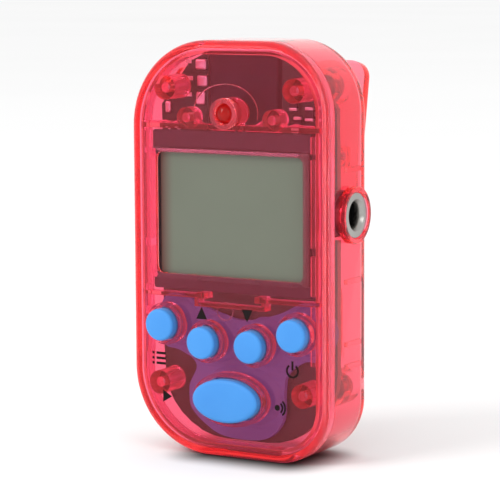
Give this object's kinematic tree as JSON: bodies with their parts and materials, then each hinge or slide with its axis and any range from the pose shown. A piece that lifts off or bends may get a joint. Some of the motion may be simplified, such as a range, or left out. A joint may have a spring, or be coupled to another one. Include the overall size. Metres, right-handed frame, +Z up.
{
  "type": "digital metronome",
  "caption": "Pocket digital metronome in a clear tinted two-part case, with a display, rubber buttons, a beat lamp, a side headphone socket and a spring clip behind.",
  "frame": {"origin": "the middle of the flat bottom that it stands on, on the centre plane, half way between the front and back faces of the case", "axes": "+X towards the headphone socket, -Y out of the display and buttons, +Z up"},
  "size_m": [0.0334, 0.0221, 0.06],
  "materials": {
    "clear_red": "clear polycarbonate tinted red, polished",
    "blue_silicone": "matte moulded silicone",
    "carbon_rubber": "matte, conductive",
    "steel": "bright zinc plated",
    "nickel": "nickel plated, satin to bright",
    "display_film": "fine anti-glare matte",
    "display_glass": "clear",
    "black_plastic": "moulded, fine matte",
    "black_epoxy": "satin epoxy drop",
    "board": "green solder mask over glass laminate",
    "resistor_black": "satin",
    "capacitor_tan": "satin ceramic",
    "pink_elastomer": "matte layered silicone",
    "lamp_red": "clear deep red epoxy",
    "bronze": "spring bronze, satin"
  },
  "bodies": {
    "case": {"front_cover": "clear_red", "rear_cover": "clear_red", "keypad_membrane": "blue_silicone", "case_screw_1": "steel", "case_screw_2": "steel", "case_screw_3": "steel", "case_screw_4": "steel", "clip_pin": "steel", "clip_spring": "steel", "jack_sleeve": "nickel", "led_lead_left": "nickel", "led_lead_right": "nickel", "clock_crystal": "nickel", "coin_cell": "nickel", "battery_contact_negative": "nickel", "battery_contact_positive": "nickel", "lcd_polarizer": "display_film", "lcd_reflector": "display_film", "lcd_glass": "display_glass", "jack_body": "black_plastic", "buzzer": "black_plastic", "controller_chip": "black_epoxy", "circuit_board": "board", "resistor_1": "resistor_black", "resistor_2": "resistor_black", "resistor_3": "resistor_black", "resistor_4": "resistor_black", "capacitor_1": "capacitor_tan", "capacitor_2": "capacitor_tan", "zebra_strip": "pink_elastomer", "led_body": "lamp_red", "jack_spring_upper": "bronze", "jack_spring_lower": "bronze"},
    "select_key": {"button_select": "blue_silicone", "contact_pill_select": "carbon_rubber"},
    "up_key": {"button_up": "blue_silicone", "contact_pill_up": "carbon_rubber"},
    "down_key": {"button_down": "blue_silicone", "contact_pill_down": "carbon_rubber"},
    "power_key": {"button_power": "blue_silicone", "contact_pill_power": "carbon_rubber"},
    "tap_key": {"button_tap": "blue_silicone", "contact_pill_tap": "carbon_rubber"},
    "clip": {"clip_lever": "clear_red"},
    "door": {"battery_door": "clear_red"}
  },
  "joints": [
    {"name": "select_press", "type": "slide", "parent": "case", "child": "select_key", "axis": [0, 1, 0], "range_m": [0, 0.0008], "stiffness_N_per_m": 400},
    {"name": "up_press", "type": "slide", "parent": "case", "child": "up_key", "axis": [0, 1, 0], "range_m": [0, 0.0008], "stiffness_N_per_m": 400},
    {"name": "down_press", "type": "slide", "parent": "case", "child": "down_key", "axis": [0, 1, 0], "range_m": [0, 0.0008], "stiffness_N_per_m": 400},
    {"name": "power_press", "type": "slide", "parent": "case", "child": "power_key", "axis": [0, 1, 0], "range_m": [0, 0.0008], "stiffness_N_per_m": 400},
    {"name": "tap_press", "type": "slide", "parent": "case", "child": "tap_key", "axis": [0, 1, 0], "range_m": [0, 0.0008], "stiffness_N_per_m": 500},
    {"name": "clip_hinge", "type": "hinge", "parent": "case", "child": "clip", "pos_m": [0, 0.0084, 0.043], "axis": [1, 0, 0], "range_deg": [0, 22], "stiffness_Nm_per_rad": 0.05, "deforming": ["clip_spring"]},
    {"name": "battery_door_hinge", "type": "hinge", "parent": "case", "child": "door", "pos_m": [0, 0.0065, 0.00795], "axis": [-1, 0, 0], "range_deg": [0, 60]}
  ]
}
